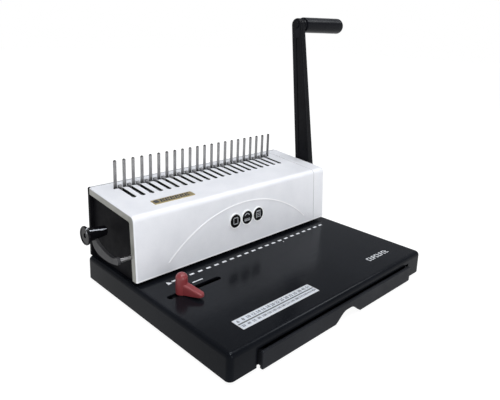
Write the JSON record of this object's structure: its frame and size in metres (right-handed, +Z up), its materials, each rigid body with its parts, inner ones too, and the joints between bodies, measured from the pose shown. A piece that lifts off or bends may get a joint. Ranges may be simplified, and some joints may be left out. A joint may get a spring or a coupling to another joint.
{
  "type": "comb binding machine",
  "caption": "Manual comb binding machine: flat black base with chip drawer, white punching head with comb tines, side punching lever and comb-opening knob.",
  "frame": {"origin": "centre of the bounding box at the underside of the rubber feet", "axes": "+X to the right seen from the front, along the row of tines; -Y towards the user; +Z up"},
  "size_m": [0.5264, 0.306, 0.3766],
  "materials": {
    "black_shell": "satin moulded black",
    "black_plastic": "matt moulded black",
    "white_shell": "satin pearl white",
    "frame_paint": "satin black powder coat",
    "lever_paint": "black powder coat",
    "grip_plastic": "soft black",
    "steel": "ground",
    "zinc_steel": "zinc plated",
    "tine_steel": "nickel plated",
    "bronze": "sintered bronze",
    "rubber": "matt",
    "red_plastic": "satin moulded red",
    "badge_black": "gloss black",
    "badge_rim": "satin light",
    "gold_plate": "satin gold film",
    "white_print": "printed white"
  },
  "bodies": {
    "base": {"base_shell": "black_shell", "bottom_plate": "frame_paint", "bottom_screws": "zinc_steel", "rubber_feet": "rubber", "foot_screws": "zinc_steel", "drawer_rails": "black_plastic", "frame_left": "frame_paint", "frame_right": "frame_paint", "frame_screws": "zinc_steel", "tie_rods": "zinc_steel", "shaft_bushings": "bronze", "lower_die": "steel", "stripper_plate": "steel", "die_spacer": "steel", "die_screws": "zinc_steel", "guide_posts": "steel", "return_spring": "steel", "bed_plate": "steel", "tines": "tine_steel", "head_cover": "white_shell", "end_cover": "white_shell", "side_panel": "black_plastic", "rear_panel": "frame_paint", "rear_screws": "zinc_steel", "panel_blocks": "black_plastic", "badges": "badge_black", "badge_rims": "badge_rim", "top_badge": "gold_plate", "table_label": "white_print", "scale_marks": "white_print"},
    "drawer": {"chip_drawer": "black_shell"},
    "lever": {"punch_lever": "lever_paint", "grip": "grip_plastic", "grip_bolt": "lever_paint", "grip_collar": "grip_plastic", "lever_nut": "zinc_steel", "drive_shaft": "steel", "rocker_arms": "steel", "rocker_pins": "steel", "shaft_collar": "steel"},
    "ram": {"punch_bar": "steel", "punches": "steel"},
    "opener": {"opener_shaft": "steel", "opener_cranks": "steel", "crank_pins": "steel", "opener_arm": "lever_paint", "opener_knob": "black_plastic", "knob_screw": "zinc_steel"},
    "hook_slide": {"hook_carriage": "steel", "hooks": "steel"},
    "guide_slide": {"guide_clamp": "black_plastic", "guide_stud": "zinc_steel"},
    "guide_lever": {"guide_knob": "red_plastic"}
  },
  "joints": [
    {"name": "lever_pull", "type": "hinge", "parent": "base", "child": "lever", "pos_m": [0, 0.0798, 0.08], "axis": [1, 0, 0], "range_deg": [0, 50], "stiffness_Nm_per_rad": 1.4, "springref_deg": -9.74, "deforming": ["return_spring"]},
    {"name": "ram_stroke", "type": "slide", "parent": "base", "child": "ram", "axis": [0, 0, -1], "range_m": [0, 0.01357]},
    {"name": "opener_turn", "type": "hinge", "parent": "base", "child": "opener", "pos_m": [0, 0.0445, 0.0737], "axis": [1, 0, 0], "range_deg": [0, 50]},
    {"name": "hook_travel", "type": "slide", "parent": "base", "child": "hook_slide", "axis": [0, -1, 0], "range_m": [0, 0.03079]},
    {"name": "drawer_pull", "type": "slide", "parent": "base", "child": "drawer", "axis": [0, -1, 0], "range_m": [0, 0.21]},
    {"name": "guide_travel", "type": "slide", "parent": "base", "child": "guide_slide", "axis": [1, 0, 0], "range_m": [-0.01, 0.055]},
    {"name": "guide_clamp_turn", "type": "hinge", "parent": "guide_slide", "child": "guide_lever", "pos_m": [-0.1971, -0.015, 0.05], "axis": [0, 0, 1], "range_deg": [0, 90]}
  ],
  "couplings": [
    {"joint": "ram_stroke", "follows": "lever_pull", "m_per_rad": 0.015497},
    {"joint": "hook_travel", "follows": "opener_turn", "m_per_rad": 0.03523}
  ]
}
